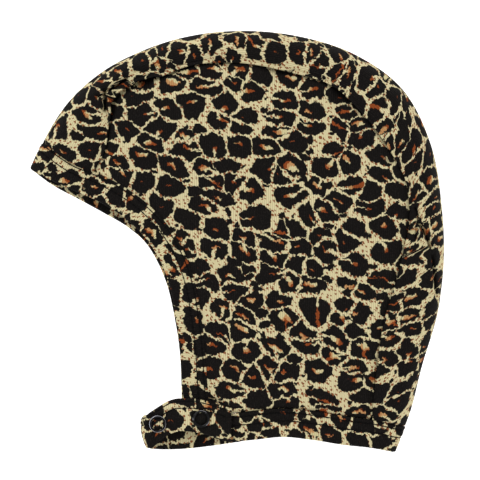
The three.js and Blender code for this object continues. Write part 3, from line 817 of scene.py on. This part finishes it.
# How deep a ring presses the cloth in, how far the cloth swells inside it, how wide each is,
# and how far below the ring's middle it still presses
RING_SEAT, RING_SWELL = 0.5, 0.5
SEAT_REACH, SWELL_REACH, SEAT_UNDER = 0.9, 2.2, 2.5


def strap_face():
    first, last = np.array(STRAP_LOWER[-1], float), np.array(STRAP_UPPER[0], float)
    turn = []
    for angle in np.linspace(0, math.pi, 7)[1:-1]:
        share = (1 - math.cos(angle)) / 2
        out = STRAP_TURN_OUT * math.sin(angle)
        turn.append(mix(first, last, share) - (out, 0, out, 0, 0))
    rows = np.array([*STRAP_LOWER, *turn, *STRAP_UPPER], float)
    middle = (rows[:, :2] + rows[:, 2:4]) / 2
    fine = smooth_rows(np.column_stack([rows, middle, rows[:, 4]]), [5, 6, 7])
    run = way_along(fine[:, 5:8])
    rim = STRAP_THICK / 2
    fine = rows_at(ways(run[-1], step=0.6, rim=rim), run, fine)
    share = ways(STRAP_WIDE, step=0.45, rim=rim)[::-1] / STRAP_WIDE
    upper = fine[:, [0, 1, 4]][:, None]
    lower = fine[:, [2, 3, 4]][:, None]
    face = mix(upper, lower, share[None, :, None])
    turned = np.clip(first[0] - fine[:, :1], 0, STRAP_TURN_OUT) / STRAP_TURN_OUT
    face[..., 0] -= STRAP_TURN_BOW * turned * np.sin(math.pi * share)
    return face


strap_grid = strap_face()
strap_along = arc_lengths(strap_grid, 0)[:, [STRAP_COLUMN]]
strap_along = np.broadcast_to(strap_along, strap_grid.shape[:2])
strap_across = arc_lengths(strap_grid, 1)
strap_from_top = strap_across[:, -1:] - strap_across
strap_grid = grooved(strap_grid, strap_from_top, strap_along, STRAP_LINES, 0.0)
for x, y, ring_z, *_ in SNAPS.values():
    from_ring = np.hypot(strap_grid[..., 0] - x, strap_grid[..., 1] - y)
    seat = RING_SEAT * np.exp(-(((from_ring - RING_RADIUS) / SEAT_REACH) ** 2))
    swell = RING_SWELL * np.exp(-((from_ring / SWELL_REACH) ** 2))
    on_top = strap_grid[..., 2] > ring_z - SEAT_UNDER
    strap_grid[..., 2] += np.where(on_top, swell - seat, 0)
strap_uv = np.stack([strap_along, strap_across], axis=-1) + STRAP_PRINT
strap = cloth("chin_strap_cloth", strap_grid, strap_uv, STRAP_THICK, JERSEY)
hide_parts("chin_strap")

# Stitches
# Lockstitches of black thread, sewn with a twin needle. Each lies as a short bow on the cloth and
# dips into it at both ends. The thread is twisted polyester: to the eye a dull black with faint
# paler turns. It is 0.3 mm thick, and is drawn nearly twice that so that it shows.
STITCH_PITCH, STITCH_LONG, STITCH_START, THREAD = 2.6, 2.5, 1.2, 0.28
STITCH_RISE, STITCH_DIP, STITCH_ROUND, THREAD_TWIST = 0.12, 0.22, 0.6, 0.4
# THREAD is a radius. A stitch has so many rings of points, and a ring so many sides.
RINGS, SIDES = 7, 6
thread_material, thread_tree, thread_shader = new_material(
    "twisted_polyester_thread", {"Roughness": 0.9, "Specular IOR Level": 0.08}
)
thread_place = add_node(thread_tree, "TexCoord", out="Object")
thread_twist = {"Vector": thread_place, "Scale": 1000 / THREAD_TWIST}
thread_twist = add_node(thread_tree, "TexNoise", thread_twist)
thread_turns = {0: thread_twist, 6: srgb("050505"), 7: srgb("0F0E0D")}
thread_colour = add_node(thread_tree, "Mix", thread_turns, 2, **BLEND)
thread_tree.links.new(thread_colour, thread_shader.inputs["Base Color"])


def on_stitch_line(grid, from_sewn, line):
    """The value of a grid in each column, at a line's distance from the sewn edge."""
    columns = zip(from_sewn.T, np.swapaxes(grid, 0, 1))
    return np.array([rows_at(line, away, column) for away, column in columns])


def stitch_line(face, from_sewn, line):
    """A line of stitches on a face with rows across it, as tubes with closed ends."""
    place = on_stitch_line(face, from_sewn, line)
    up = on_stitch_line(grid_normals(face), from_sewn, line)
    run = way_along(place)
    points, faces = [], []
    t = np.linspace(0, 1, RINGS)
    angles = np.arange(SIDES) / SIDES * math.tau
    for start in np.arange(STITCH_START, run[-1] - STITCH_LONG - STITCH_START, STITCH_PITCH):
        at = start + STITCH_LONG * t
        out = rows_at(at, run, up)
        bow = np.sin(math.pi * t) ** STITCH_ROUND * (STITCH_RISE + STITCH_DIP) - STITCH_DIP
        middle = rows_at(at, run, place) + out * bow[:, None]
        middle[:, 2] = np.maximum(middle[:, 2], THREAD)
        way = np.gradient(middle, axis=0)
        side = np.cross(way, out)
        side /= np.linalg.norm(side, axis=1)[:, None]
        over = np.cross(side, way)
        over /= np.linalg.norm(over, axis=1)[:, None]
        number = np.arange(RINGS * SIDES).reshape(RINGS, SIDES) + len(points) * RINGS * SIDES
        after = np.roll(number, -1, axis=1)
        ring = side[:, None] * np.cos(angles)[:, None] + over[:, None] * np.sin(angles)[:, None]
        points.append((middle[:, None] + THREAD * ring).reshape(-1, 3))
        sides = np.stack([number[:-1], after[:-1], after[1:], number[1:]], axis=-1)
        faces += [*sides.reshape(-1, 4).tolist(), number[0, ::-1].tolist(), number[-1].tolist()]
    return np.vstack(points), faces


def stitches(name, face, from_sewn, lines):
    points, faces = [], []
    for line in lines:
        more, quads = stitch_line(face, from_sewn, line)
        base = sum(len(p) for p in points)
        points.append(more)
        faces += [[base + i for i in q] for q in quads]
    mesh = bpy.data.meshes.new(name)
    mesh.from_pydata((np.vstack(points) * MM).tolist(), [], faces)
    mesh.shade_smooth()
    mesh.materials.append(thread_material)
    solid = bmesh.new()
    solid.from_mesh(mesh)
    bmesh.ops.recalc_face_normals(solid, faces=solid.faces)
    solid.to_mesh(mesh)
    solid.free()
    return sewn_piece(name, mesh)


# np.interp needs rising distances, so the face band's rows are turned round
face_stitches = stitches("face_band_stitches", face_grid[::-1], face_from_sewn[::-1], FACE_LINES)
neck_stitches = stitches("neck_band_stitches", neck_grid, neck_from_sewn, NECK_LINES)
strap_turned = np.swapaxes(strap_grid, 0, 1)[::-1]
strap_stitches = stitches("chin_strap_stitches", strap_turned, strap_from_top.T[::-1], STRAP_LINES)

# Ring snaps
# Open prong rings stamped from brass and enamelled glossy black, pressed into the strap. Under
# the cloth each holds the plain steel disc of its snap, whose face is sunk inside a rim.
RING_FLAT = 0.8
CLASP_RIM, CLASP_SINK, CLASP_STEP, CLASP_RISE, CLASP_BEVEL = 1.0, 0.4, 0.8, 0.3, 0.12
# Where the bare metal shows, from the ring's middle, and half how wide
BARE_EDGE, BARE_WIDE = 3.86, 0.08
# Sizes of the specks in the enamel, of the patches of bare metal, and of the steel's grain
SPECK, BARE_PATCH, STEEL_GRAIN = 1.1, 3.85, 0.7


def ring_enamel(name, x, y, bare):
    """Black enamel, fired on: to the eye a deep, wet gloss. The bare metal shines in a hairline at
    the ring's outer edge, all round it where bare is 1."""
    gloss = {"Roughness": 0.14, "Specular IOR Level": 0.22}
    material, tree, shader = new_material(name, gloss)
    node = functools.partial(add_node, tree)
    place = node("TexCoord", out="Object")
    speck = node("TexNoise", {"Vector": place, "Scale": 1000 / SPECK})
    black = node("Mix", {0: speck, 6: srgb("030304"), 7: srgb("0A0A0B")}, 2, **BLEND)
    flat = node("VectorMath", (place, (1000, 1000, 0)), **TIMES)
    away = node("VectorMath", (flat, (x, y, 0)), 1, operation="DISTANCE")
    past_edge = node("Math", (away, BARE_EDGE), **MINUS)
    off_edge = node("Math", (past_edge,), operation="ABSOLUTE")
    on_edge = node("Math", (off_edge, BARE_WIDE), operation="LESS_THAN")
    patches = node("TexNoise", {"Vector": place, "Scale": 1000 / BARE_PATCH, "Detail": 1.0})
    shown = node("Math", (patches, 1 - 0.9 * bare), operation="GREATER_THAN")
    is_bare = node("Math", (on_edge, shown), **TIMES)
    colour = node("Mix", {0: is_bare, 6: black, 7: srgb("B4B4BA")}, 2, **BLEND)
    tree.links.new(colour, shader.inputs["Base Color"])
    tree.links.new(is_bare, shader.inputs["Metallic"])
    return material


# Steel, pressed and plated with nickel: to the eye a plain bright metal, a little clouded
steel, steel_tree, steel_shader = new_material(
    "pressed_nickel_steel", {"Base Color": srgb("B9B9BB"), "Metallic": 1.0}
)
steel_place = add_node(steel_tree, "TexCoord", out="Object")
steel_grain = {"Vector": steel_place, "Scale": 1000 / STEEL_GRAIN, "Detail": 3.0}
steel_grain = add_node(steel_tree, "TexNoise", steel_grain)
steel_rough = add_node(steel_tree, "MapRange", (steel_grain, 0.3, 0.7, 0.22, 0.4))
steel_tree.links.new(steel_rough, steel_shader.inputs["Roughness"])


def finish_snap(node, finish, material):
    bpy.ops.object.mode_set(mode="OBJECT")
    piece = bpy.context.object
    piece.name = piece.data.name = f"{node}_{finish}"
    bpy.ops.object.transform_apply(location=True, rotation=True, scale=True)
    bpy.ops.object.shade_smooth_by_angle(angle=math.radians(35))
    piece.data.materials.append(material)
    piece.select_set(False)
    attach(piece, "root")
    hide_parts(node)


for which, (x, y, ring_z, clasp_z, clasp_high, bare) in SNAPS.items():
    bpy.ops.object.select_all(action="DESELECT")
    bpy.ops.mesh.primitive_torus_add(
        major_radius=RING_RADIUS * MM,
        minor_radius=RING_WIRE * MM,
        major_segments=72,
        minor_segments=18,
        location=(x * MM, y * MM, ring_z * MM),
    )
    bpy.ops.object.mode_set(mode="EDIT")
    bpy.ops.mesh.select_all(action="SELECT")
    bpy.ops.transform.resize(value=(1, 1, RING_FLAT))
    enamel = ring_enamel(f"black_enamelled_brass_{which}", x, y, bare)
    finish_snap(f"snap_ring_{which}", "enamelled", enamel)
    bpy.ops.mesh.primitive_cylinder_add(
        vertices=64,
        radius=CLASP_RADIUS * MM,
        depth=clasp_high * MM,
        location=(x * MM, y * MM, clasp_z * MM),
    )
    clasp = bpy.context.object
    bpy.ops.object.mode_set(mode="EDIT")
    bpy.ops.mesh.select_all(action="DESELECT")
    shape = bmesh.from_edit_mesh(clasp.data)
    for face in shape.faces:
        face.select_set(face.normal.z > 0.9)
    bmesh.update_edit_mesh(clasp.data)
    bpy.ops.mesh.inset(thickness=CLASP_RIM * MM)
    bpy.ops.transform.translate(value=(0, 0, -CLASP_SINK * MM))
    bpy.ops.mesh.inset(thickness=CLASP_STEP * MM)
    bpy.ops.transform.translate(value=(0, 0, CLASP_RISE * MM))
    bpy.ops.mesh.select_all(action="SELECT")
    bpy.ops.mesh.bevel(offset=CLASP_BEVEL * MM, segments=2)
    finish_snap(f"snap_clasp_{which}", "steel", steel)

# Floor, light and camera
# A plain table of white paint, rolled on matt. It glows a little as well, so that to the eye it
# is as white as the photograph's ground. The camera looks straight down, as the photograph does:
# 480 pixels take in 224 mm at the height of the cloth's middle.
FLOOR_SIZE = 3000
white_paint = {"Base Color": srgb("F6F6F5"), "Roughness": 0.9}
white_glow = {"Emission Color": srgb("FFFFFF"), "Emission Strength": 0.7}
floor_material, *_ = new_material("pale_floor", white_paint | white_glow)
bpy.ops.mesh.primitive_plane_add(size=FLOOR_SIZE * MM)
floor = bpy.context.object
floor.name = floor.data.name = "floor"
floor.data.materials.append(floor_material)

world = bpy.data.worlds.new("studio")
world.use_nodes = True
world_tree = world.node_tree
sky_way = add_node(world_tree, "TexCoord", out="Generated")
sky_up = add_node(world_tree, "SeparateXYZ", (sky_way,), "Z")
# White walls, and a dark ceiling round the camera
sky_light = add_node(world_tree, "MapRange", (sky_up, 0.72, 0.92, 1.0, 0.12))
world_tree.links.new(sky_light, world_tree.nodes["Background"].inputs["Strength"])
world_tree.nodes["Background"].inputs["Color"].default_value = srgb("FFFFFF")
scene.world = world
scene.view_settings.view_transform = "Standard"
for name, place, size, power in (
    ("lamp_left", (-0.8, 0.9, 1.2), 1.2, 14),
    ("lamp_right", (1.0, -0.6, 1.3), 1.4, 8),
):
    light_data = bpy.data.lights.new(name, "AREA")
    light_data.shape = "DISK"
    light_data.size = size
    light_data.energy = power
    light = bpy.data.objects.new(name, light_data)
    light.location = place
    light.rotation_mode = "QUATERNION"
    light.rotation_quaternion = (-Vector(place)).to_track_quat("-Z", "Y")
    scene.collection.objects.link(light)

PHOTO_PIXELS, PIXEL = 480, 0.467
VIEW_CENTRE = (1.4, 0.5)
LENS, SENSOR = 120, 36
MID_HEIGHT = 7
camera_data = bpy.data.cameras.new("camera")
camera_data.lens = LENS
camera_data.sensor_width = SENSOR
camera = bpy.data.objects.new("camera", camera_data)
scene.collection.objects.link(camera)
camera_way = PHOTO_PIXELS * PIXEL * LENS / SENSOR + MID_HEIGHT
camera.location = (VIEW_CENTRE[0] * MM, VIEW_CENTRE[1] * MM, camera_way * MM)
scene.camera = camera
